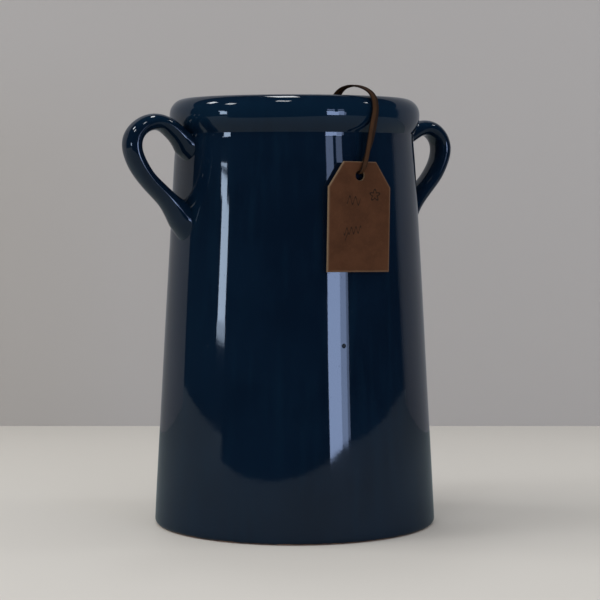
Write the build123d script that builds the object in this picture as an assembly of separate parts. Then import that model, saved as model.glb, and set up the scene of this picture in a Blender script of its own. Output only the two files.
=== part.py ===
"""Two-handled glazed urn with a swing tag on a doubled leather lace.

Millimetres, +Z up. The origin is the centre of the foot, on the surface the urn stands on.
The handles are on the X axis and the tag hangs on the -Y side.
"""

from build123d import *
from math import radians, tan
import os

os.makedirs("parts", exist_ok=True)

# Urn
HEIGHT = 285.0  # foot to the crest of the rim
FOOT_RADIUS = 91.7  # outer edge of the ring that touches the table
FOOT_CHAMFER = 3.2  # rounding between the foot and the wall
BASE_RADIUS = 94.9  # wall just above the foot
BELLY_RADIUS = 88.4  # wall at BELLY_Z
BELLY_Z = 115.0
NECK_RADIUS = 79.7  # wall under the rim
NECK_Z = 250.0  # where the neck turns upright
CREASE_Z = 261.3  # crease between the neck and the rim
RECESS_RADIUS = 77.0  # shallow hollow under the base
RECESS_DEPTH = 2.0
WALL = 7.0
FLOOR_TOP_Z = 10.0
FLOOR_FILLET = 9.0

# Rolled rim
RIM_RADIUS = 83.8
RIM_OUTER_ROLL = 10.5
RIM_INNER_ROLL = 5.5
CREST_RADIUS = RIM_RADIUS - RIM_OUTER_ROLL
MOUTH_RADIUS = CREST_RADIUS - RIM_INNER_ROLL
RIM_LIP_Z = 272.0  # where the underside of the rim meets its upright outer face

# Handles: corners of the centreline as (distance from the urn's axis, height), with bend radii
HANDLE_CORNERS = [
    (74.0, 251.0),
    (103.0, 272.0),
    (122.5, 258.2),
    (112.5, 236.0),
    (92.0, 215.8),
    (78.0, 192.0),
]
HANDLE_BENDS = [13.2, 12.2, 30.0, 36.0]
HANDLE_WIDTH = 20.5  # across the strap
HANDLE_THICKNESS = 10.8  # in the plane of the loop

# Swing tag
TAG_WIDTH = 45.0
TAG_HEIGHT = 70.0
TAG_TOP_WIDTH = 23.3  # what the clipped corners leave of the top edge
TAG_CLIP_HEIGHT = 16.3
TAG_THICKNESS = 2.0
TAG_EDGE = 0.35  # edge rounding
TAG_BACK_Y = -85.5  # upright, with its lower edge against the wall
TAG_TILT = 1.0  # degrees, the lower end towards -X
HOLE_RADIUS = 3.3
HOLE_X = 0.0
HOLE_Z = 233.6
HOLE_TO_TOP = 8.8

# Lace: a flat lace 3.2 wide and 1.3 thick, made here as a round one of the same section
LACE_DIAMETER = 2.3
STRAND_GAP = 3.5  # between the centres of the two strands
LACE_CLEAR = 0.35  # from the faces of the tag
FOLD_Z = 235.0  # the fold through the hole, close under the hole's upper edge

# Knot
KNOT_RADIUS = 4.6
KNOT_HEIGHT = 9.0
KNOT_TOP = (-3.5, -60.5, 214.0)
KNOT_GRIP = 1.2  # how far the strands' ends reach into the knot


def fold(side):
    """Where one strand turns at the tag: side -1 is its front face, +1 its back."""
    half = TAG_THICKNESS / 2 + LACE_CLEAR + LACE_DIAMETER / 2
    return (HOLE_X, TAG_BACK_Y - TAG_THICKNESS / 2 + side * half, FOLD_Z)


def front_strand():
    """The strand over the tag's front, from the hole up, over the rim and down inside."""
    return [
        fold(-1),
        (2.0, -89.1, 242.6),
        (4.4, -87.5, 252.6),
        (7.4, -86.4, 264.3),
        (10.4, -85.7, 276.4),
        (10.6, -81.8, 285.6),
        (7.6, -75.8, 289.8),
        (3.2, -69.6, 291.0),
        (-2.0, -63.4, 288.6),
        (-5.0, -59.2, 280.4),
        (-5.6, -58.6, 262.4),
        (-5.2, -60.2, 238.0),
        (KNOT_TOP[0] - STRAND_GAP / 2, KNOT_TOP[1], KNOT_TOP[2] - KNOT_GRIP),
    ]


def back_strand():
    """The strand behind the tag, from the hole up beside the other one."""
    return [
        fold(1),
        (3.6, -83.9, 242.4),
        (7.8, -85.2, 253.0),
        (11.0, -85.8, 264.5),
        (13.9, -85.4, 276.3),
        (14.0, -81.4, 285.9),
        (10.4, -74.4, 290.2),
        (5.6, -67.8, 291.1),
        (0.9, -62.0, 288.2),
        (-1.6, -58.4, 280.0),
        (-2.0, -58.4, 262.0),
        (-1.7, -60.2, 237.6),
        (KNOT_TOP[0] + STRAND_GAP / 2, KNOT_TOP[1], KNOT_TOP[2] - KNOT_GRIP),
    ]


def outer_outline():
    """The urn's outside from the foot to the crest of the rim."""
    chamfer_top = (BASE_RADIUS, FOOT_CHAMFER)
    roll_start = (RIM_RADIUS, HEIGHT - RIM_OUTER_ROLL)
    crease = (NECK_RADIUS, CREASE_Z)
    crest = (CREST_RADIUS, HEIGHT)
    return [
        TangentArc((BASE_RADIUS, FOOT_CHAMFER), (FOOT_RADIUS, 0), tangent=(0, -1)),
        ThreePointArc(chamfer_top, (BELLY_RADIUS, BELLY_Z), (NECK_RADIUS, NECK_Z)),
        Line((NECK_RADIUS, NECK_Z), crease),
        TangentArc((RIM_RADIUS, RIM_LIP_Z), crease, tangent=(0, -1)),
        Line((RIM_RADIUS, RIM_LIP_Z), roll_start),
        TangentArc(roll_start, crest, tangent=(0, 1)),
    ]


def inner_outline():
    """The urn's inside from the crest of the rim to the middle of the floor."""
    crest = (CREST_RADIUS, HEIGHT)
    mouth = (MOUTH_RADIUS, HEIGHT - RIM_INNER_ROLL)
    neck = (NECK_RADIUS - WALL, CREASE_Z)
    corner = (BASE_RADIUS - WALL - FLOOR_FILLET, FLOOR_TOP_Z)
    wall_foot = (BASE_RADIUS - WALL, FLOOR_TOP_Z + FLOOR_FILLET)
    return [
        TangentArc(crest, mouth, tangent=(-1, 0)),
        Spline([mouth, neck], tangents=[(0, -1), (0, -1)]),
        ThreePointArc(neck, (BELLY_RADIUS - WALL, BELLY_Z), wall_foot),
        TangentArc(corner, wall_foot, tangent=(1, 0)),
        Line(corner, (0, FLOOR_TOP_Z)),
    ]


def revolved(lines):
    """The closed outline turned about the urn's axis."""
    return revolve(Plane.XZ * make_face(lines), Axis.Z)


def vessel_body():
    """Wall, floor and rolled rim, thrown in one piece."""
    recess = [
        Line((0, FLOOR_TOP_Z), (0, RECESS_DEPTH)),
        Line((0, RECESS_DEPTH), (RECESS_RADIUS, RECESS_DEPTH)),
        Line((RECESS_RADIUS, RECESS_DEPTH), (RECESS_RADIUS + RECESS_DEPTH, 0)),
        Line((RECESS_RADIUS + RECESS_DEPTH, 0), (FOOT_RADIUS, 0)),
    ]
    return revolved(outer_outline() + inner_outline() + recess)


def vessel_filled():
    """The urn's outer shape with no hollow, which trims the handles' roots."""
    middle = [Line((CREST_RADIUS, HEIGHT), (0, HEIGHT)), Line((0, HEIGHT), (0, 0))]
    return revolved(outer_outline() + middle + [Line((0, 0), (FOOT_RADIUS, 0))])


def handle(side, urn):
    """A pulled ear-shaped strap of oval section, luted on under the rim; side is +1 or -1."""
    corners = [(side * r, 0, z) for r, z in HANDLE_CORNERS]
    path = FilletPolyline(*corners, radius=HANDLE_BENDS)
    section = Plane(path @ 0, x_dir=(0, 1, 0), z_dir=path % 0)
    oval = section * Ellipse(HANDLE_WIDTH / 2, HANDLE_THICKNESS / 2)
    return sweep(oval, path) - urn


def swing_tag():
    """A flat tag with two clipped corners and a round hole, tilted in its own plane."""
    low = HOLE_TO_TOP - TAG_HEIGHT
    shoulder = HOLE_TO_TOP - TAG_CLIP_HEIGHT
    outline = Polyline(
        (-TAG_WIDTH / 2, low),
        (TAG_WIDTH / 2, low),
        (TAG_WIDTH / 2, shoulder),
        (TAG_TOP_WIDTH / 2, HOLE_TO_TOP),
        (-TAG_TOP_WIDTH / 2, HOLE_TO_TOP),
        (-TAG_WIDTH / 2, shoulder),
        close=True,
    )
    sheet = make_face(outline) - Circle(HOLE_RADIUS)
    plate = fillet_faces(extrude(sheet, TAG_THICKNESS))
    face = Plane((HOLE_X, TAG_BACK_Y, HOLE_Z), x_dir=(1, 0, 0), z_dir=(0, -1, 0))
    return face * Rot(0, 0, -TAG_TILT) * plate


def fillet_faces(plate):
    """The plate with the edges of its two faces rounded."""
    rims = plate.faces().filter_by(Axis.Z).edges()
    return fillet(rims, TAG_EDGE)


def bend_radii(points):
    """One radius per corner: 0.45 of its shorter run over the tangent of half the turn."""
    radii = []
    for before, here, after in zip(points, points[1:], points[2:]):
        run_in = Vector(here) - Vector(before)
        run_out = Vector(after) - Vector(here)
        half_turn = radians(run_in.get_angle(run_out)) / 2
        radii.append(0.45 * min(run_in.length, run_out.length) / tan(half_turn))
    return radii


def tag_lace():
    """One lace, doubled through the tag's hole, over the rim and down to the knot."""
    points = front_strand()[::-1] + back_strand()
    radii = bend_radii(points)
    path = FilletPolyline(*points, radius=radii)
    tube = sweep(Plane(path @ 0, z_dir=path % 0) * Circle(LACE_DIAMETER / 2), path)
    section = Circle(LACE_DIAMETER / 2).area
    print("lace bend radii", [round(r, 1) for r in radii])
    print("lace length", round(path.length, 1))
    print("lace volume over section times length", round(tube.volume / section / path.length, 4))
    return tube


def lace_knot():
    """The knot that joins the lace's two ends, as a rounded barrel."""
    barrel = Pos(*KNOT_TOP) * Pos(0, 0, -KNOT_HEIGHT / 2) * Cylinder(KNOT_RADIUS, KNOT_HEIGHT)
    return fillet(barrel.edges().filter_by(GeomType.CIRCLE), KNOT_RADIUS * 0.7)


def write(name, shape):
    """Saves one piece under its name and prints its volume."""
    export_step(shape, f"parts/{name}.step")
    print(name, round(shape.volume))


urn_outside = vessel_filled()
write("vessel_body", vessel_body())
write("handle_left", handle(-1, urn_outside))
write("handle_right", handle(1, urn_outside))
write("swing_tag", swing_tag())
write("tag_lace", tag_lace())
write("lace_knot", lace_knot())
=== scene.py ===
"""Two-handled glazed urn with a leather swing tag: the finished look, built round the CAD frame."""

import math

import bpy
import numpy as np
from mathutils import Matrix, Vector


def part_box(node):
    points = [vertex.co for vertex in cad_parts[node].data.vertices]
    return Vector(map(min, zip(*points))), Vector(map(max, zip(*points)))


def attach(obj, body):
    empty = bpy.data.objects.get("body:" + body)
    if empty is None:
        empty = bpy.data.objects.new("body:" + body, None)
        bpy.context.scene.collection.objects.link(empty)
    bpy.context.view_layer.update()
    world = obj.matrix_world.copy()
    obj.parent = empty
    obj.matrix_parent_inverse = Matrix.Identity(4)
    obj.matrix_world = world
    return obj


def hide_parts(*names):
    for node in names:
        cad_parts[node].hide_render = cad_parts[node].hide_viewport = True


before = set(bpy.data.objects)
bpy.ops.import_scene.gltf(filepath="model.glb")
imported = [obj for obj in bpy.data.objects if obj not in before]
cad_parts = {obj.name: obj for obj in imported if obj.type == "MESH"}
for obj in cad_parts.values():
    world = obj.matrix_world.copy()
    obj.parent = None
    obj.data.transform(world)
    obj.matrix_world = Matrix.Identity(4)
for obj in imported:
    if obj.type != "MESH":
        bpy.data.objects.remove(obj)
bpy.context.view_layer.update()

MM = 0.001
UP = np.array([0.0, 0.0, 1.0])

# The urn, in millimetres; its height and foot come from the CAD node's own box
urn_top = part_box("vessel_body")[1]
HEIGHT = urn_top.z / MM
BASE_RADIUS = urn_top.x / MM
RIM_RADIUS = 83.8
RIM_SWELL = (267.5, 19.0)  # height of the turn under the rim's widest, and its rounding
RIM_ROLL = 10.5  # rounding of the rim's outer edge
MOUTH_ROLL = 5.5  # rounding of its inner edge
MOUTH_Z = 274.0  # where the mouth starts to open out below
MOUTH_RADIUS = RIM_RADIUS - RIM_ROLL - MOUTH_ROLL
NECK_RADIUS = 79.7
NECK_Z = 258.3  # it is straight from here to the crease under the rim
CREASE_Z = 261.3
SHOULDER = (1.25, 243.0)  # a slight change of slope: how far out from the neck, and its height
SHOULDER_ROUND = 250.0
WALL = 7.0
FLOOR_Z = 10.0
FOOT_ROUND = 3.2
RECESS_RADIUS = 78.0
RECESS_DEPTH = 2.0
RECESS_ROUND = 0.6
BULGE = 0.2  # how far the wall bows out from a straight cone
FLAT_WITHIN = 40.0  # nearer the axis than this, on the floor and under the foot, nothing bows

# The camera stands left of the tag, a little under the rim's height
VIEW_AZIMUTH = math.radians(-28.5)
VIEW_DISTANCE = 1.286
VIEW_HEIGHT = 0.2277
VIEW_TILT = math.radians(3.46)
VIEW_ASIDE = 0.0036
LENS = 114.3  # focal length in millimetres


def srgb(red, green, blue):
    """A colour given as 0 to 255 screen values, as the linear RGBA that shaders take."""
    screen = np.array([red, green, blue]) / 255
    linear = np.where(screen <= 0.04045, screen / 12.92, ((screen + 0.055) / 1.055) ** 2.4)
    return (*linear.tolist(), 1.0)


# ---------------------------------------------------------------- camera


def toward_camera():
    """The level direction from the urn to the camera, and the camera's right hand."""
    back = np.array([math.sin(VIEW_AZIMUTH), -math.cos(VIEW_AZIMUTH), 0.0])
    right = np.array([math.cos(VIEW_AZIMUTH), math.sin(VIEW_AZIMUTH), 0.0])
    return back, right


def make_camera():
    back, right = toward_camera()
    data = bpy.data.cameras.new("camera")
    data.lens = LENS
    camera = bpy.data.objects.new("camera", data)
    bpy.context.scene.collection.objects.link(camera)
    camera.location = back * VIEW_DISTANCE + right * VIEW_ASIDE + UP * VIEW_HEIGHT
    camera.rotation_euler = (math.pi / 2 - VIEW_TILT, 0.0, VIEW_AZIMUTH)
    bpy.context.scene.camera = camera


# ---------------------------------------------------------------- mesh helpers


def mesh_from_grid(name, grid, close_u=False, uv=None, poles=(False, False)):
    """A mesh from a grid of points, rows by columns by xyz, in metres. The last column joins the
    first; close_u joins the last row to the first as well; poles caps the first and last row
    with a point at the row's middle. UV, if given, has a pair for each point of the grid."""
    rows, columns, _ = grid.shape
    index = np.arange(rows * columns).reshape(rows, columns)
    below = index if close_u else index[:-1]
    above = np.roll(index, -1, 0) if close_u else index[1:]
    quads = np.stack([below, np.roll(below, -1, 1), np.roll(above, -1, 1), above], -1)
    points = grid.reshape(-1, 3)
    faces = quads.reshape(-1, 4).tolist()
    for row, capped in ((0, poles[0]), (rows - 1, poles[1])):
        if capped:
            ring = index[row] if row else index[row][::-1]
            tip = len(points)
            points = np.concatenate([points, grid[row].mean(0)[None]])
            fan = np.stack([ring, np.roll(ring, -1), np.full(columns, tip)], -1)
            faces += fan.tolist()
    mesh = bpy.data.meshes.new(name)
    mesh.from_pydata(points.tolist(), [], faces)
    mesh.update()
    mesh.shade_smooth()
    if uv is not None:
        spots = np.concatenate([uv.reshape(-1, 2), np.zeros((len(points) - rows * columns, 2))])
        corners = np.zeros(len(mesh.loops), np.int32)
        mesh.loops.foreach_get("vertex_index", corners)
        layer = mesh.uv_layers.new(name="along")
        layer.data.foreach_set("uv", spots[corners].ravel())
    return mesh


def add_piece(name, mesh, body, material, replaced=None):
    """Shows a mesh as a piece that rides on a body and takes the place of a CAD node."""
    piece = bpy.data.objects.new(name, mesh)
    bpy.context.scene.collection.objects.link(piece)
    mesh.materials.append(material)
    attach(piece, body)
    if replaced:
        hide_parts(replaced)
    return piece


ARC_TURN = math.radians(7)  # the most that an arc turns from one point to the next
SAME_POINT = 1e-6


def rounded(corners, step, run_step=None):
    """A line through (r, z, radius) corners, with an arc of that radius at each, as points no
    further than step apart, or run_step on the straight runs. The first and last corners are
    the line's ends. Where one arc runs straight into the next, their shared point is kept once."""
    spots = np.array([c[:2] for c in corners], float)
    line = [spots[0]]
    for before, here, after, corner in zip(spots, spots[1:], spots[2:], corners[1:]):
        radius = corner[2]
        into = (before - here) / np.linalg.norm(before - here)
        out = (after - here) / np.linalg.norm(after - here)
        half = math.acos(float(np.clip(into @ out, -1, 1))) / 2
        cut = radius / math.tan(half)
        centre = here + (into + out) / np.linalg.norm(into + out) * radius / math.sin(half)
        start, end = here + into * cut - centre, here + out * cut - centre
        sweep = math.pi - 2 * half
        count = max(3, math.ceil(sweep * radius / step), math.ceil(sweep / ARC_TURN))
        share = np.linspace(0, 1, count + 1)[:, None]
        arc = (np.sin((1 - share) * sweep) * start + np.sin(share * sweep) * end) / math.sin(sweep)
        line += list(centre + arc)
    line.append(spots[-1])
    full = [line[0]]
    for a, b in zip(line, line[1:]):
        gap = np.linalg.norm(b - a)
        parts = math.ceil(gap / (run_step or step)) if gap > SAME_POINT else 0
        full += [a + (b - a) * k / parts for k in range(1, parts + 1)]
    return np.array(full)


def unit(rows):
    """Each row of an array as a vector of length 1."""
    return rows / np.linalg.norm(rows, axis=1)[:, None]


def length_along(line):
    """How far along a line each of its points is."""
    gaps = np.linalg.norm(np.diff(line, axis=0), axis=1)
    return np.concatenate([[0], np.cumsum(gaps)])


# ---------------------------------------------------------------- urn

URN_STEP = 1.6  # spacing of the mesh's rows along the arcs of the outline
URN_RUN_STEP = 2.5  # and along its straight runs
URN_COLUMNS = 256


def bow(r, z):
    """The wall bows out from a straight cone as a parabola, most at half its height."""
    share = np.clip((z - FOOT_ROUND) / (CREASE_Z - FOOT_ROUND), 0, 1)
    outer = r > FLAT_WITHIN
    return r + outer * BULGE * 4 * share * (1 - share)


def outer_corners():
    """The outside from the foot's inner edge to the crest, as corners with their rounding."""
    return [
        (RECESS_RADIUS - 1, RECESS_DEPTH, RECESS_ROUND),
        (RECESS_RADIUS + 1, 0.0, RECESS_ROUND),
        (BASE_RADIUS, 0.0, FOOT_ROUND),
        (NECK_RADIUS + SHOULDER[0], SHOULDER[1], SHOULDER_ROUND),
        (NECK_RADIUS, NECK_Z, 15.0),
        (NECK_RADIUS, CREASE_Z, 0.7),
        (RIM_RADIUS, *RIM_SWELL),
        (RIM_RADIUS, HEIGHT, RIM_ROLL),
    ]


def inner_corners():
    """The inside from the crest to the floor."""
    return [
        (MOUTH_RADIUS, HEIGHT, MOUTH_ROLL),
        (MOUTH_RADIUS, MOUTH_Z, 6.0),
        (NECK_RADIUS - WALL, 262.0, 12.0),
        (BASE_RADIUS - WALL, FLOOR_Z, 9.0),
    ]


RIM_WIDEST_Z = 276.0


def wall_radius(z):
    """The outside's radius at a height, up to the rim's widest, in millimetres."""
    line = rounded(outer_corners() + [(RIM_RADIUS - 12, HEIGHT, 0)], 0.5)
    line = line[line[:, 0] > RECESS_RADIUS]
    line[:, 0] = bow(line[:, 0], line[:, 1])
    rising = line[: np.argmax(line[:, 1] > RIM_WIDEST_Z)]
    return np.interp(z, rising[:, 1], rising[:, 0])


def thrown_ripple(angle, z):
    """How far a hand-thrown wall strays from true, in millimetres: two broad lobes and seven
    small ones round it, slow waves up it and the faint spiral that the fingers leave, which
    rises 9 mm a turn."""
    lobes = 0.06 * np.sin(2 * angle + 0.7) + 0.05 * np.sin(7 * angle + z / 35)
    waves = 0.045 * np.sin(z / 19 + 1.1 * np.sin(angle)) + 0.003 * np.sin(z / 6.1 + 2 * angle)
    spiral = 0.0008 * np.sin(2 * math.pi * z / 9.0 + angle)
    return lobes + waves + spiral


def urn_mesh():
    """A surface of revolution: r(s), z(s) along the outline from the middle of the underside,
    up the outside, over the rim and down the inside to the middle of the floor, turned through
    the angle v, with the thrown ripple added to r away from the foot."""
    start = [(0.0, RECESS_DEPTH, 0)]
    end = [(0.0, FLOOR_Z, 0)]
    line = rounded(start + outer_corners() + inner_corners() + end, URN_STEP, URN_RUN_STEP)
    line = line[line[:, 0] > 0.5]  # the poles close the two middles
    r, z = bow(line[:, 0], line[:, 1])[:, None], line[:, 1][:, None]
    angle = np.linspace(0, 2 * math.pi, URN_COLUMNS, endpoint=False)[None, :]
    away = np.clip((z - FOOT_ROUND) / 12, 0, 1) * np.clip((r - 20) / 30, 0, 1)
    r = r + away * thrown_ripple(angle, z)
    grid = np.stack([r * np.cos(angle), r * np.sin(angle), z + 0 * angle], -1) * MM
    return mesh_from_grid("urn", grid, poles=(True, True))


# ---------------------------------------------------------------- handles

# Corners of each strap's centreline as (distance from the axis, height); pulled by hand, the two
# differ a little
HANDLE_LINES = {
    "left": [(72, 247), (101, 273), (123, 259), (113, 235), (91.5, 216), (75, 193.5)],
    "right": [(72, 252.5), (104.5, 271), (119, 257), (112, 236.5), (92, 215.5), (76, 189)],
}
HANDLE_WIDTH = 20.5
HANDLE_THICKNESS = 10.9
HANDLE_ROOT_DEPTH = 3.0  # how far a root reaches into the wall
HANDLE_ROUND = 2.1  # power of the section's superellipse; 2 is an ellipse
HANDLE_ROWS = 170
HANDLE_COLUMNS = 64
HANDLE_SMOOTHING = 70

# How a strap spreads where it meets the wall, in millimetres, at its lower and its upper root
LOWER_BELOW_Z = 235
SPREAD_REACH = (7.0, 5.0)  # the distance off the wall over which it fades
SPREAD_ACROSS = (3.0, 1.5)
SPREAD_OUTWARD = (3.2, 2.4)
SPREAD_INSIDE = (3.5, 1.0)  # what the inside of the loop gets beyond that


def even_steps(line, count):
    """The line again as that many evenly spaced points."""
    along = length_along(line)
    at = np.linspace(0, along[-1], count)
    return np.stack([np.interp(at, along, line[:, k]) for k in range(line.shape[1])], -1)


def smoothed(values, passes):
    """Averages each value with its two neighbours, again and again; the ends stay."""
    for _ in range(passes):
        middle = (values[:-2] + 2 * values[1:-1] + values[2:]) / 4
        values = np.concatenate([values[:1], middle, values[-1:]])
    return values


def bend_radii(spots):
    """One radius per corner: 0.45 of its shorter run times the tangent of half its angle."""
    radii = []
    for before, here, after in zip(spots, spots[1:], spots[2:]):
        into, out = np.subtract(before, here), np.subtract(after, here)
        runs = np.linalg.norm(into), np.linalg.norm(out)
        half = math.acos(float(into @ out) / (runs[0] * runs[1])) / 2
        radii.append(0.45 * min(runs) * math.tan(half))
    return radii


def superellipse(count, power):
    """Points on |x|^p + |y|^p = 1, evenly spaced by angle."""
    angle = np.linspace(0, 2 * math.pi, count, endpoint=False)
    x, y = np.cos(angle), np.sin(angle)
    size = (np.abs(x) ** power + np.abs(y) ** power) ** (-1 / power)
    return x * size, y * size


def handle_mesh(name, side):
    """A rounded oval carried along the strap's centreline, c(s) + a x(v) w + b y(v) n, where w
    is across the strap and n in the plane of the loop. Near each end the oval widens by
    k exp(-(d/t)^1.5), d being the distance off the wall, and more so inside the loop, so that
    the strap flows into the wall. What would lie deeper in the wall than the root's depth is
    moved out to it. Two slow sines vary the thickness as fingers do."""
    spots = HANDLE_LINES[name]
    radii = [0, *bend_radii(spots), 0]
    corners = [(r, z, bend) for (r, z), bend in zip(spots, radii)]
    line = smoothed(even_steps(rounded(corners, 1.0), HANDLE_ROWS), HANDLE_SMOOTHING)
    tangent = unit(np.gradient(line, axis=0))
    normal = np.stack([-tangent[:, 1], tangent[:, 0]], -1)
    off_wall = np.clip(line[:, 0] - wall_radius(line[:, 1]), 0, None)
    lower = line[:, 1] < LOWER_BELOW_Z
    flare = np.exp(-((off_wall / np.where(lower, *SPREAD_REACH)) ** 1.5))
    wide = HANDLE_WIDTH / 2 + flare * np.where(lower, *SPREAD_ACROSS)
    along = np.linspace(0, 1, len(line))
    squeezed = 1 + 0.020 * np.sin(19 * along + side) + 0.012 * np.sin(47 * along)
    thick = squeezed * HANDLE_THICKNESS / 2 + flare * np.where(lower, *SPREAD_OUTWARD)
    fillet = flare * np.where(lower, *SPREAD_INSIDE)
    across, within = superellipse(HANDLE_COLUMNS, HANDLE_ROUND)
    out = thick[:, None] * within - fillet[:, None] * np.clip(-within, 0, 1)
    radial = line[:, :1] + out * normal[:, :1]
    height = line[:, 1:] + out * normal[:, 1:]
    sideways = wide[:, None] * across
    reach = np.hypot(radial, sideways)
    deepest = wall_radius(height) - HANDLE_ROOT_DEPTH
    push = np.maximum(reach, deepest) / reach
    grid = np.stack([side * radial * push, side * sideways * push, height], -1) * MM
    return mesh_from_grid(f"handle_{name}", grid, poles=(True, True))


# ---------------------------------------------------------------- lace, knot and tag

LACE_WIDTH = 3.1
LACE_THICKNESS = 1.3
LACE_COLUMNS = 24
LACE_ROUND = 3  # power of the section's superellipse

# The route in metres: up from the knot, over the rim, through the tag's hole and back beside
# itself. It keeps the CAD's points, moved a little where the strands lie together.
LACE_ROUTE = [
    (-0.00525, -0.0605, 0.2128),
    (-0.0052, -0.0602, 0.2380),
    (-0.0056, -0.0586, 0.2624),
    (-0.0052, -0.0592, 0.2804),
    (-0.0026, -0.0636, 0.2889),
    (0.0026, -0.0698, 0.2916),
    (0.0082, -0.0757, 0.2900),
    (0.0126, -0.0812, 0.2855),
    (0.0124, -0.0853, 0.2766),
    (0.0088, -0.0863, 0.2645),
    (0.0062, -0.0874, 0.2526),
    (0.0034, -0.0890, 0.2426),
    (0.0000, -0.0890, 0.2350),
    (0.0000, -0.0840, 0.2350),
    (0.0046, -0.0839, 0.2424),
    (0.0090, -0.0850, 0.2530),
    (0.0116, -0.0853, 0.2645),
    (0.0144, -0.0841, 0.2764),
    (0.0148, -0.0800, 0.2853),
    (0.0110, -0.0744, 0.2903),
    (0.0052, -0.0680, 0.2916),
    (0.0006, -0.0622, 0.2886),
    (-0.0016, -0.0584, 0.2800),
    (-0.0020, -0.0584, 0.2620),
    (-0.0017, -0.0602, 0.2376),
    (-0.00175, -0.0605, 0.2128),
]
LACE_LENGTH = 0.31


def spline_points(route, per_span=12):
    """Points read from a smooth NURBS spline that has the route as its control points."""
    curve = bpy.data.curves.new("route", "CURVE")
    curve.dimensions = "3D"
    spline = curve.splines.new("NURBS")
    spline.points.add(len(route) - 1)
    spline.points.foreach_set("co", np.c_[np.array(route), np.ones(len(route))].ravel())
    spline.order_u = 3
    spline.use_endpoint_u = True
    spline.resolution_u = per_span
    holder = bpy.data.objects.new("route", curve)
    mesh = bpy.data.meshes.new_from_object(holder)
    points = np.zeros(len(mesh.vertices) * 3)
    mesh.vertices.foreach_get("co", points)
    bpy.data.objects.remove(holder)
    bpy.data.curves.remove(curve)
    bpy.data.meshes.remove(mesh)
    return points.reshape(-1, 3)


def square_to(line_tangent, direction):
    """The side and face directions down a line: the side is square to the tangent and as near
    to the given direction as that allows, and the face is square to both."""
    along = (direction * line_tangent).sum(1)[:, None]
    side = unit(direction - along * line_tangent)
    return side, np.cross(line_tangent, side)


def strap_mesh(name, line, across, width, thickness):
    """A flat lace carried along a line: its section is the superellipse |x/a|^3 + |y/b|^3 = 1,
    with x along the side direction. Its UV map is (across the lace, metres along it)."""
    side, face = square_to(unit(np.gradient(line, axis=0)), across)
    x, y = superellipse(LACE_COLUMNS, LACE_ROUND)
    x, y = x * width / 2, y * thickness / 2
    grid = line[:, None] + side[:, None] * x[:, None] + face[:, None] * y[:, None]
    uv = np.broadcast_arrays(x[None, :] / width + 0.5, length_along(line)[:, None])
    return mesh_from_grid(name, grid, uv=np.stack(uv, -1), poles=(True, True))


def lying_flat(line):
    """The lace's side direction: along X where it hangs, level and square to the run where it
    lies over the rim."""
    tangent = unit(np.gradient(line, axis=0))
    run = np.hypot(tangent[:, 0], tangent[:, 1])
    turn = np.where(tangent[:, 1] < 0, -1, 1) / np.maximum(run, 1e-6)
    lying = run**2
    x = 1 - lying + lying * tangent[:, 1] * turn
    return np.stack([x, -lying * tangent[:, 0] * turn, 0 * x], -1)


# The knot and the cut ends, in millimetres
KNOT_LOOP = 2.1  # radius of the ring that the strand winds round
KNOT_COIL = 1.15  # radius of the winding
KNOT_STRAND = 1.25  # radius of the strand
KNOT_ROWS = 160
KNOT_COLUMNS = 16
TAIL_START = 2.6  # how far up inside the knot an end starts
TAIL_LENGTH = 11.0
TAIL_ROWS = 24
TAIL_WIDTH = 2.6
TAIL_THICKNESS = 1.1


def knot_mesh():
    """The overhand knot in the two ends, pulled tight: a round strand along the torus knot
    ((R + r cos 3t) cos 2t, (R + r cos 3t) sin 2t, 1.8 r sin 3t), closed on itself. Its UV map
    is the middle of the lace, running on with t."""
    low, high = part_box("lace_knot")
    middle = (np.array(low) + np.array(high)) / 2
    t = np.linspace(0, 2 * math.pi, KNOT_ROWS, endpoint=False)
    ring = KNOT_LOOP + KNOT_COIL * np.cos(3 * t)
    spots = [ring * np.cos(2 * t), ring * np.sin(2 * t), 1.8 * KNOT_COIL * np.sin(3 * t)]
    line = middle + np.stack(spots, -1) * MM
    tangent = unit(np.roll(line, -1, 0) - np.roll(line, 1, 0))
    side, face = square_to(tangent, line - middle)
    angle = np.linspace(0, 2 * math.pi, KNOT_COLUMNS, endpoint=False)[:, None]
    section = side[:, None] * np.cos(angle) + face[:, None] * np.sin(angle)
    grid = line[:, None] + section * KNOT_STRAND * MM
    uv = np.full((KNOT_ROWS, KNOT_COLUMNS, 2), 0.5)
    uv[..., 1] = t[:, None] * 0.005
    return mesh_from_grid("knot", grid, close_u=True, uv=uv)


def tail_mesh(lean):
    """One cut end of the lace, which leaves the knot downwards and bends away by s^2."""
    low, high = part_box("lace_knot")
    share = np.linspace(0, 1, TAIL_ROWS)
    x = (low.x + high.x) / 2 + lean * (1.0 + 2.2 * share**2) * MM
    y = (low.y + high.y) / 2 + lean * 0.6 * share * MM
    z = low.z + (TAIL_START - TAIL_LENGTH * share) * MM
    line = np.stack([x, y, z], -1)
    across = np.broadcast_to([0.3, 1.0, 0.0], line.shape)
    return strap_mesh("tail", line, across, TAIL_WIDTH * MM, TAIL_THICKNESS * MM)


# ---------------------------------------------------------------- materials


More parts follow.
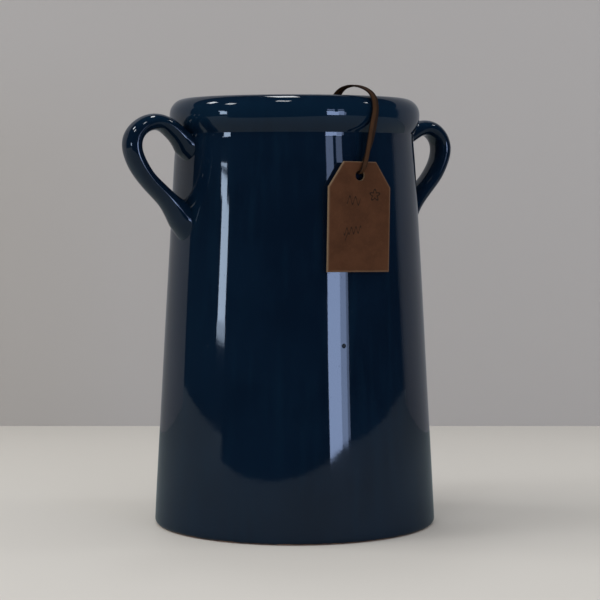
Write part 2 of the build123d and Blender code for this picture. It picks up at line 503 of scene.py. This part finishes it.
class Nodes:
    """Short calls for building one node tree."""

    def __init__(self, tree):
        self.tree = tree

    def add(self, kind, settings=None, **inputs):
        node = self.tree.nodes.new(kind)
        for key, value in (settings or {}).items():
            setattr(node, key, value)
        for key, value in inputs.items():
            self.put(node.inputs[key.replace("_", " ")], value)
        return node

    def put(self, socket, value):
        if isinstance(value, bpy.types.NodeSocket):
            self.tree.links.new(value, socket)
        else:
            socket.default_value = value

    def math(self, operation, *values):
        node = self.tree.nodes.new("ShaderNodeMath")
        node.operation = operation
        for socket, value in zip(node.inputs, values):
            self.put(socket, value)
        return node.outputs[0]

    def noise(self, where, scale, detail=4.0, rough=0.5):
        node = self.add("ShaderNodeTexNoise", Scale=scale, Detail=detail, Roughness=rough)
        self.put(node.inputs["Vector"], where)
        return node.outputs["Fac"]

    def ramp(self, value, low, high):
        """0 at low, 1 at high, smooth between."""
        node = self.add("ShaderNodeMapRange", {"interpolation_type": "SMOOTHSTEP"})
        self.put(node.inputs["Value"], value)
        node.inputs["From Min"].default_value = low
        node.inputs["From Max"].default_value = high
        return node.outputs["Result"]

    def near(self, value, target, inner, outer):
        """1 where the value is within inner of the target, falling to 0 at outer."""
        off = self.math("ABSOLUTE", self.math("SUBTRACT", value, target))
        return self.inverse(self.ramp(off, inner, outer))

    def mix(self, share, a, b):
        node = self.add("ShaderNodeMix", {"data_type": "RGBA"})
        self.put(node.inputs["Factor"], share)
        self.put(node.inputs["A"], a)
        self.put(node.inputs["B"], b)
        return node.outputs["Result"]

    def bump(self, height, strength, distance):
        node = self.add("ShaderNodeBump", Strength=strength, Distance=distance)
        self.put(node.inputs["Height"], height)
        return node.outputs[0]

    def inverse(self, share):
        return self.math("SUBTRACT", 1.0, share)

    def mix_shader(self, share, a, b):
        node = self.add("ShaderNodeMixShader")
        for socket, value in zip(node.inputs, (share, a, b)):
            self.put(socket, value)
        return node.outputs[0]


def new_material(name):
    """A material, its nodes and its Principled shader."""
    material = bpy.data.materials.new(name)
    material.use_nodes = True
    return material, Nodes(material.node_tree), material.node_tree.nodes["Principled BSDF"]


def linear(red, green, blue):
    """A colour given as shares of the light that it throws back."""
    return (red, green, blue, 1.0)


def leather_grain():
    """A node group that the lace and the tag share: fine fibres and slow clouding, put out as
    a height for bump, a mask of raised fibres and a mask of darker clouds."""
    group = bpy.data.node_groups.new("leather_grain", "ShaderNodeTree")
    sockets = (("Where", "INPUT", "NodeSocketVector"), ("Fineness", "INPUT", "NodeSocketFloat"))
    sockets += tuple((key, "OUTPUT", "NodeSocketFloat") for key in ("Height", "Fibres", "Clouds"))
    for key, way, kind in sockets:
        group.interface.new_socket(key, in_out=way, socket_type=kind)
    n = Nodes(group)
    given, out = n.add("NodeGroupInput"), n.add("NodeGroupOutput")
    where, fineness = given.outputs["Where"], given.outputs["Fineness"]
    fibres = n.noise(where, fineness, 6.0, 0.65)
    pores = n.noise(where, n.math("MULTIPLY", fineness, 3.1), 2.0)
    n.put(out.inputs["Height"], n.math("MULTIPLY_ADD", pores, 0.35, fibres))
    n.put(out.inputs["Fibres"], n.ramp(fibres, 0.48, 0.72))
    n.put(out.inputs["Clouds"], n.ramp(n.noise(where, 70.0, 3.0), 0.35, 0.68))
    return group


def grained(n, group, where, fineness):
    """The leather grain placed in a material, with its own fineness."""
    node = n.add("ShaderNodeGroup", {"node_tree": group})
    n.put(node.inputs["Where"], where)
    node.inputs["Fineness"].default_value = fineness
    return node.outputs


GLAZE_PIT = (-0.0114, -0.0874, 0.1257)  # a crater that a bubble left in the glaze
PIT_RADIUS = (0.0009, 0.0016)  # of its floor and of its lip
BARE_UP_TO = (0.0012, 0.0016)  # the height at which bare clay gives way to glaze
THIN_BELOW_TOP = 0.0105  # how far under the top the rim's edge is, where glaze draws thin


def glaze_tone(n, where, height):
    """Navy that clouds slowly, with faint runs down the wall and a lighter blue where the glaze
    is thin, on the rim's edge."""
    cloudy = n.ramp(n.noise(where, 22.0, 4.0), 0.3, 0.7)
    tone = n.mix(cloudy, linear(0.0017, 0.0066, 0.0165), linear(0.0024, 0.0090, 0.0215))
    stretched = n.add("ShaderNodeMapping", Vector=where, Scale=(1.0, 1.0, 0.12)).outputs[0]
    runs = n.ramp(n.noise(stretched, 150.0, 3.0), 0.45, 0.75)
    tone = n.mix(n.math("MULTIPLY", runs, 0.5), tone, linear(0.0030, 0.0122, 0.0265))
    thin = n.near(height, HEIGHT * MM - THIN_BELOW_TOP, 0.002, 0.011)
    return n.mix(n.math("MULTIPLY", thin, 0.55), tone, linear(0.0030, 0.0150, 0.0330))


def pit_mask(n, where):
    """1 on the floor of the large pit, 0 outside its lip."""
    off_pit = n.add("ShaderNodeVectorMath", {"operation": "DISTANCE"})
    n.put(off_pit.inputs[0], where)
    off_pit.inputs[1].default_value = GLAZE_PIT
    return n.inverse(n.ramp(off_pit.outputs["Value"], *PIT_RADIUS))


def glaze_material():
    """Deep navy gloss glaze, a little uneven, with pinholes and one larger pit, over a buff clay
    that shows bare round the foot."""
    material, n, shader = new_material("navy_glaze")
    where = n.add("ShaderNodeTexCoord").outputs["Object"]
    height = n.add("ShaderNodeSeparateXYZ", Vector=where).outputs["Z"]
    pinholes = n.ramp(n.noise(where, 900.0, 1.0), 0.77, 0.80)
    pit = pit_mask(n, where)
    glaze = n.mix(pinholes, glaze_tone(n, where, height), linear(0.0008, 0.0024, 0.0060))
    glaze = n.mix(pit, glaze, linear(0.0010, 0.0022, 0.0045))
    ragged = n.math("MULTIPLY_ADD", n.noise(where, 120.0), 0.0014, height)
    bare = n.inverse(n.ramp(ragged, *BARE_UP_TO))
    clay_tone = n.ramp(n.noise(where, 160.0, 6.0, 0.7), 0.3, 0.7)
    clay = n.mix(clay_tone, srgb(132, 96, 74), srgb(166, 132, 106))
    n.put(shader.inputs["Base Color"], n.mix(bare, glaze, clay))
    smooth = n.math("MULTIPLY_ADD", n.noise(where, 60.0), 0.05, 0.015)
    dull = n.math("MAXIMUM", n.math("MULTIPLY", bare, 0.8), n.math("MULTIPLY", pit, 0.5))
    n.put(shader.inputs["Roughness"], n.math("MAXIMUM", smooth, dull))
    shader.inputs["IOR"].default_value = 1.52
    grain = n.math("MULTIPLY", bare, n.noise(where, 1500.0, 3.0))
    peel = n.math("MULTIPLY", n.noise(where, 150.0, 2.0), 0.13)
    craters = n.math("ADD", n.math("MULTIPLY", pinholes, 0.5), n.math("MULTIPLY", pit, 2.5))
    surface = n.math("SUBTRACT", n.math("ADD", grain, peel), craters)
    n.put(shader.inputs["Normal"], n.bump(surface, 0.25, 0.0002))
    return material


def lace_material(grain_group):
    """Brown lace leather: waxed dark edges, lengthwise grain, and painted light and shade: the
    front strand, knot and ends painted lighter as lit, the back strand darker as shaded."""
    material, n, shader = new_material("lace_leather")
    uv = n.add("ShaderNodeUVMap").outputs[0]
    spot = n.add("ShaderNodeSeparateXYZ", Vector=uv).outputs
    where = n.add("ShaderNodeTexCoord").outputs["Object"]
    grain = grained(n, grain_group, where, 1500.0)
    # Painted light and shade: lit front strand, knot and ends lighter; shaded back strand darker
    lit_strand_tone = n.mix(grain["Clouds"], linear(0.045, 0.0175, 0.0045), linear(0.060, 0.0240, 0.0062))
    brown = n.mix(grain["Clouds"], linear(0.022, 0.0085, 0.0030), linear(0.030, 0.0120, 0.0042))
    tone = n.mix(n.ramp(spot["Y"], LACE_LENGTH * 0.49, LACE_LENGTH * 0.51), lit_strand_tone, brown)
    raised = linear(0.075, 0.033, 0.010)
    tone = n.mix(n.math("MULTIPLY", grain["Fibres"], 0.35), tone, raised)
    off_middle = n.math("ABSOLUTE", n.math("SUBTRACT", spot["X"], 0.5))
    waxed = linear(0.013, 0.0055, 0.0028)
    edge = n.ramp(off_middle, 0.33, 0.47)
    n.put(shader.inputs["Base Color"], n.mix(edge, tone, waxed))
    n.put(shader.inputs["Roughness"], n.math("MULTIPLY_ADD", grain["Height"], 0.2, 0.42))
    shader.inputs["Specular IOR Level"].default_value = 0.15
    n.put(shader.inputs["Normal"], n.bump(grain["Height"], 0.5, 0.0002))
    return material


# The tag as it was cut, in metres in its own plane: u to the right and v up from its hole
TAG_TURN = math.radians(1.0)
TAG_HALF_WIDTH = 0.0225
TAG_TOP = 0.0088
TAG_BOTTOM = -0.0612
CLIP_WIDTH = 0.01085
CLIP_HEIGHT = 0.0163

# Pen strokes on it, as the numbers that pen_line takes, and the stamped flower
PEN_STROKES = [
    (-0.0095, 0.0005, -0.0165, 0.0024, 1500.0, -0.1),
    (-0.0115, 0.0015, -0.0345, 0.0020, 1900.0, 0.12),
    (-0.0105, -0.0080, -0.0185, 0.0004, 700.0, 2.2),
]
ROSETTE = (0.0110, -0.0125)
ROSETTE_RADIUS = 0.0027
PETALS = 5
PETAL_DEPTH = 0.0009


def tag_face_place(n, where):
    """u and v on the tag's face, from Object coordinates: moved to the hole and turned back."""
    hole_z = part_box("swing_tag")[1].z - TAG_TOP
    moved = n.add("ShaderNodeVectorMath", {"operation": "SUBTRACT"})
    n.put(moved.inputs[0], where)
    moved.inputs[1].default_value = (0.0, 0.0, hole_z)
    turned = n.add("ShaderNodeMapping", Vector=moved.outputs[0], Rotation=(0.0, -TAG_TURN, 0.0))
    parts = n.add("ShaderNodeSeparateXYZ", Vector=turned.outputs[0]).outputs
    return parts["X"], parts["Z"]


def edge_distance(n, u, v):
    """How far a spot on the tag's face is from the nearest cut edge: the least of its distances
    to the two sides, the two ends and the clipped corners."""
    off_side = n.math("SUBTRACT", TAG_HALF_WIDTH, n.math("ABSOLUTE", u))
    off_end = n.math("MINIMUM", n.math("SUBTRACT", TAG_TOP, v), n.math("SUBTRACT", v, TAG_BOTTOM))
    slant = math.hypot(CLIP_WIDTH, CLIP_HEIGHT)
    weighed = n.math("MULTIPLY", n.math("SUBTRACT", TAG_TOP, v), CLIP_WIDTH / slant)
    inside = n.math("MULTIPLY_ADD", off_side, CLIP_HEIGHT / slant, weighed)
    off_clip = n.math("SUBTRACT", inside, CLIP_WIDTH * CLIP_HEIGHT / slant)
    return n.math("MINIMUM", n.math("MINIMUM", off_side, off_end), off_clip)


def pen_line(n, u, v, start, end, height, swing, waves, slope):
    """A pen stroke v = height + slope u + swing sin(waves u) between two values of u."""
    wave = n.math("SINE", n.math("MULTIPLY", u, waves))
    middle = n.math("MULTIPLY_ADD", wave, swing, n.math("MULTIPLY_ADD", u, slope, height))
    stroke = n.near(n.math("SUBTRACT", v, middle), 0.0, 0.0003, 0.0009)
    half = (end - start) / 2
    within = n.near(u, (start + end) / 2, half - 0.0004, half + 0.0002)
    return n.math("MULTIPLY", stroke, within)


def rosette_line(n, u, v):
    """A stamped flower: the line r = R + d sin(petals a) round its middle."""
    x = n.math("SUBTRACT", u, ROSETTE[0])
    y = n.math("SUBTRACT", v, ROSETTE[1])
    squares = n.math("ADD", n.math("POWER", x, 2.0), n.math("POWER", y, 2.0))
    turns = n.math("SINE", n.math("MULTIPLY", n.math("ARCTAN2", y, x), PETALS))
    line = n.math("MULTIPLY_ADD", turns, PETAL_DEPTH, ROSETTE_RADIUS)
    return n.near(n.math("SUBTRACT", n.math("SQRT", squares), line), 0.0, 0.0003, 0.0008)


def tag_material(grain_group):
    """Bonded leather board: fibrous brown face, paler worn edges, two faint pen squiggles and a
    small stamped rosette."""
    material, n, shader = new_material("tag_board")
    coords = n.add("ShaderNodeTexCoord").outputs
    grain = grained(n, grain_group, coords["Object"], 420.0)
    face = n.mix(grain["Clouds"], linear(0.063, 0.0243, 0.0100), linear(0.080, 0.0311, 0.0131))
    face = n.mix(n.math("MULTIPLY", grain["Fibres"], 0.35), face, linear(0.096, 0.041, 0.0195))
    u, v = tag_face_place(n, coords["Object"])
    worn = n.math("MULTIPLY_ADD", n.noise(coords["Object"], 300.0), 0.0006, 0.0002)
    inset = n.math("SUBTRACT", edge_distance(n, u, v), worn)
    pale = n.inverse(n.ramp(inset, 0.00005, 0.0006))
    facing = n.add("ShaderNodeSeparateXYZ", Vector=coords["Normal"]).outputs["Y"]
    cut = n.inverse(n.ramp(n.math("ABSOLUTE", facing), 0.5, 0.95))
    face = n.mix(n.math("MULTIPLY", pale, 0.35), face, linear(0.180, 0.115, 0.068))
    face = n.mix(cut, face, linear(0.175, 0.118, 0.072))
    ink = rosette_line(n, u, v)
    for stroke in PEN_STROKES:
        ink = n.math("MAXIMUM", ink, pen_line(n, u, v, *stroke))
    front = n.ramp(facing, -0.5, -0.9)
    ink = n.math("MULTIPLY", n.math("MULTIPLY", ink, front), 0.85)
    n.put(shader.inputs["Base Color"], n.mix(ink, face, linear(0.014, 0.0085, 0.0045)))
    n.put(shader.inputs["Roughness"], n.math("MULTIPLY_ADD", grain["Height"], 0.2, 0.62))
    shader.inputs["Specular IOR Level"].default_value = 0.1
    n.put(shader.inputs["Normal"], n.bump(grain["Height"], 0.5, 0.0003))
    return material


# ---------------------------------------------------------------- stage

# In metres; azimuths are in degrees from the camera's side, positive to its right
FLOOR_RADIUS = 2.25
EDGE_AWAY = (0.94, 0.98)  # how far off the floor's reflection starts and ends fading in front
EDGE_TURN = 23.0  # degrees that this edge is turned to the camera's left
EDGE_AZIMUTH = -62.0  # the edge starts at this azimuth and runs to the right
SIDE_FADE = (-0.05, 0.10)
WALL_BEHIND = 0.505
WALL_ENDS = (-1.55, 2.1)
WALL_DUSK = (1.2, 2.1)  # where its reflection fades out towards the right end
WALL_HEIGHT = 0.85
ROOM_GLOW = 0.055
SOFT_LIGHT = 0.78


def past(n, direction, low, high):
    """0 up to the distance low along a level direction, 1 from high, smooth between."""
    along = n.add("ShaderNodeVectorMath", {"operation": "DOT_PRODUCT"})
    n.put(along.inputs[0], n.add("ShaderNodeTexCoord").outputs["Object"])
    along.inputs[1].default_value = direction.tolist()
    return n.ramp(along.outputs["Value"], low, high)


def painted(name, colour, mirrored, dusk):
    """Matt paint that looks dimmer in reflections, as the unlit side of a room does. Dusk lists
    directions, each with the two distances between which it fades out of reflections; it is
    gone from them where it has faded along all."""
    material, n, shader = new_material(name)
    glossy = n.add("ShaderNodeLightPath").outputs["Is Glossy Ray"]
    n.put(shader.inputs["Base Color"], n.mix(glossy, colour, mirrored))
    shader.inputs["Roughness"].default_value = 0.9
    shader.inputs["Specular IOR Level"].default_value = 0.2
    gone = glossy
    for direction, low, high in dusk:
        gone = n.math("MULTIPLY", gone, past(n, direction, low, high))
    return material, n, see_through(n, gone, shader.outputs[0])


def see_through(n, share, surface):
    """The surface, clear where share is 1, put on the material's output."""
    clear = n.add("ShaderNodeBsdfTransparent").outputs[0]
    mixed = n.mix_shader(share, surface, clear)
    n.put(n.tree.nodes["Material Output"].inputs["Surface"], mixed)
    return mixed


def stage_piece(name, mesh, material):
    """Shows a mesh that belongs to the surroundings, not to the object."""
    mesh.materials.append(material)
    piece = bpy.data.objects.new(name, mesh)
    bpy.context.scene.collection.objects.link(piece)


def make_floor():
    """A wide pale floor. In reflections it ends in front at a slanted straight edge, as a table
    would, with the dark room beyond."""
    back, right = toward_camera()
    angle = np.linspace(0, 2 * math.pi, 96, endpoint=False)
    radii = np.array([0.05, FLOOR_RADIUS])[:, None]
    ring = np.stack([radii * np.cos(angle), radii * np.sin(angle), 0 * radii * angle], -1)
    mesh = mesh_from_grid("floor", ring, poles=(True, False))
    turned, side = math.radians(EDGE_TURN), math.radians(EDGE_AZIMUTH)
    dusk = [
        (back * math.cos(turned) - right * math.sin(turned), *EDGE_AWAY),
        (right * math.cos(side) - back * math.sin(side), *SIDE_FADE),
    ]
    mirrored = linear(0.190, 0.222, 0.226)
    material, _, _ = painted("floor_paint", srgb(204, 200, 193), mirrored, dusk)
    stage_piece("floor", mesh, material)


def make_backdrop():
    """A plain wall behind the urn, square to the view, seen only from its front."""
    back, right = toward_camera()
    middle = -back * WALL_BEHIND
    corners = [middle + right * x + UP * z for z in (0.0, WALL_HEIGHT) for x in WALL_ENDS]
    mesh = bpy.data.meshes.new("backdrop")
    mesh.from_pydata([c.tolist() for c in corners], [], [(0, 1, 3, 2)])
    colour, mirrored = srgb(180, 176, 172), linear(0.290, 0.295, 0.305)
    material, n, surface = painted("wall_paint", colour, mirrored, [(right, *WALL_DUSK)])
    see_through(n, n.add("ShaderNodeNewGeometry").outputs["Backfacing"], surface)
    stage_piece("backdrop", mesh, material)


def make_world():
    """Soft even light for matt surfaces, a dim room for reflections, and a pale ground behind
    everything that is looked at directly."""
    world = bpy.data.worlds.new("studio")
    bpy.context.scene.world = world
    world.use_nodes = True
    n = Nodes(world.node_tree)
    path = n.add("ShaderNodeLightPath").outputs
    grounds = ((srgb(120, 128, 140), ROOM_GLOW), (srgb(250, 250, 252), SOFT_LIGHT),
               (srgb(176, 173, 170), 1.0))
    dim, soft, seen = (n.add("ShaderNodeBackground", Color=colour, Strength=strength).outputs[0]
                       for colour, strength in grounds)
    lit = n.mix_shader(path["Is Diffuse Ray"], dim, soft)
    final = n.mix_shader(path["Is Camera Ray"], lit, seen)
    n.put(world.node_tree.nodes["World Output"].inputs["Surface"], final)


AIM_HEIGHT = 0.16  # the height on the urn's axis that panels face
PANEL_AWAY = 2.6
CEILING_AWAY = 2.2
DAYLIGHT = (0.61, 0.77, 1.0)
SHADY_DAYLIGHT = (0.47, 0.62, 1.0)
LAMPLIGHT = (0.93, 0.97, 1.0)
WARM_LIGHT = (1.0, 0.98, 0.95)


def panel(name, azimuth, height, size, radiance, colour=LAMPLIGHT, distance=PANEL_AWAY):
    """A glowing upright or tilted rectangle that faces the urn. Size is (width, height) in
    metres, and radiance is what a mirror shows."""
    back, right = toward_camera()
    a = math.radians(azimuth)
    level = math.cos(a) * back + math.sin(a) * right
    spot = Vector(level * distance + UP * height)
    data = bpy.data.lights.new(name, "AREA")
    data.shape = "RECTANGLE"
    data.size, data.size_y = size
    data.energy = radiance * math.pi * size[0] * size[1]
    data.color = colour
    lamp = bpy.data.objects.new(name, data)
    bpy.context.scene.collection.objects.link(lamp)
    lamp.location = spot
    lamp.rotation_mode = "QUATERNION"
    lamp.rotation_quaternion = (spot - Vector(UP * AIM_HEIGHT)).to_track_quat("Z", "Y")
    return lamp


def window_panes(name, panes, colour):
    """A window as upright panes: (left azimuth, right azimuth, low, high, radiance) each."""
    for k, (left, right, low, high, radiance) in enumerate(panes):
        width = math.radians(right - left) * PANEL_AWAY
        size = (width, high - low)
        panel(f"{name}_{k}", (left + right) / 2, (low + high) / 2, size, radiance, colour)


def ceiling_spot(name, azimuth, elevation, size, radiance):
    """A panel high up, at an elevation in degrees as seen from the rim."""
    e = math.radians(elevation)
    height = HEIGHT * MM + CEILING_AWAY * math.sin(e)
    panel(name, azimuth, height, size, radiance, distance=CEILING_AWAY * math.cos(e))


def make_lights():
    """A narrow window to the left, a curtained one to the right, the ceiling lights that the
    rim and handles pick up, and a broad soft light from the left that only matt things show."""
    window_panes("window_left", [
        (-72.0, -65.3, 0.50, 0.54, 8.0),
        (-71.3, -64.5, 0.44, 0.485, 10.0),
        (-69.7, -62.2, 0.19, 0.44, 10.0),
        (-70.2, -61.8, 0.155, 0.19, 6.0),
    ], DAYLIGHT)
    window_panes("window_right", [
        (29.2, 36.3, 0.50, 0.80, 3.4),
        (39.2, 45.2, 0.50, 0.80, 2.4),
        (28.5, 36.3, 0.36, 0.43, 9.0),
        (39.2, 45.2, 0.36, 0.43, 8.0),
        (29.0, 40.0, -0.04, 0.36, 9.0),
        (40.0, 45.2, -0.01, 0.36, 5.8),
        (45.2, 47.2, 0.0, 0.34, 3.0),
    ], SHADY_DAYLIGHT)
    ceiling_spot("ceiling_near", -19.0, 67.5, (0.33, 0.30), 9.0)
    ceiling_spot("ceiling_back", 189.0, 67.0, (0.32, 0.60), 8.0)
    for name, azimuth, elevation in (("left", -104, 42.5), ("mid", -72, 42.5), ("right", 94, 44)):
        ceiling_spot(f"ceiling_{name}", azimuth, elevation, (0.29, 0.28), 10.0)
    key = panel("soft_key", -80.0, 3.2, (2.8, 2.8), 1.95, WARM_LIGHT, 3.0)
    key.visible_glossy = False


# ---------------------------------------------------------------- the object

make_camera()
make_world()

grain_group = leather_grain()
lace_leather = lace_material(grain_group)
glaze = glaze_material()

lace_line = spline_points(LACE_ROUTE)
lace_size = (LACE_WIDTH * MM, LACE_THICKNESS * MM)
lace_mesh = strap_mesh("lace", lace_line, lying_flat(lace_line), *lace_size)
lace = add_piece("doubled_lace", lace_mesh, "lace", lace_leather, "tag_lace")
knot = add_piece("tied_knot", knot_mesh(), "lace", lace_leather, "lace_knot")
tails = [add_piece(f"lace_end_{name}", tail_mesh(lean), "lace", lace_leather)
         for name, lean in (("left", -1.0), ("right", 1.0))]

add_piece("glazed_urn", urn_mesh(), "urn", glaze, "vessel_body")
for name, side in (("left", -1), ("right", 1)):
    mesh = handle_mesh(name, side)
    add_piece(f"glazed_handle_{name}", mesh, "urn", glaze, f"handle_{name}")

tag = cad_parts["swing_tag"]
tag.data.materials.clear()
tag.data.materials.append(tag_material(grain_group))

make_floor()
make_backdrop()
make_lights()
bpy.context.scene.view_settings.view_transform = "Standard"
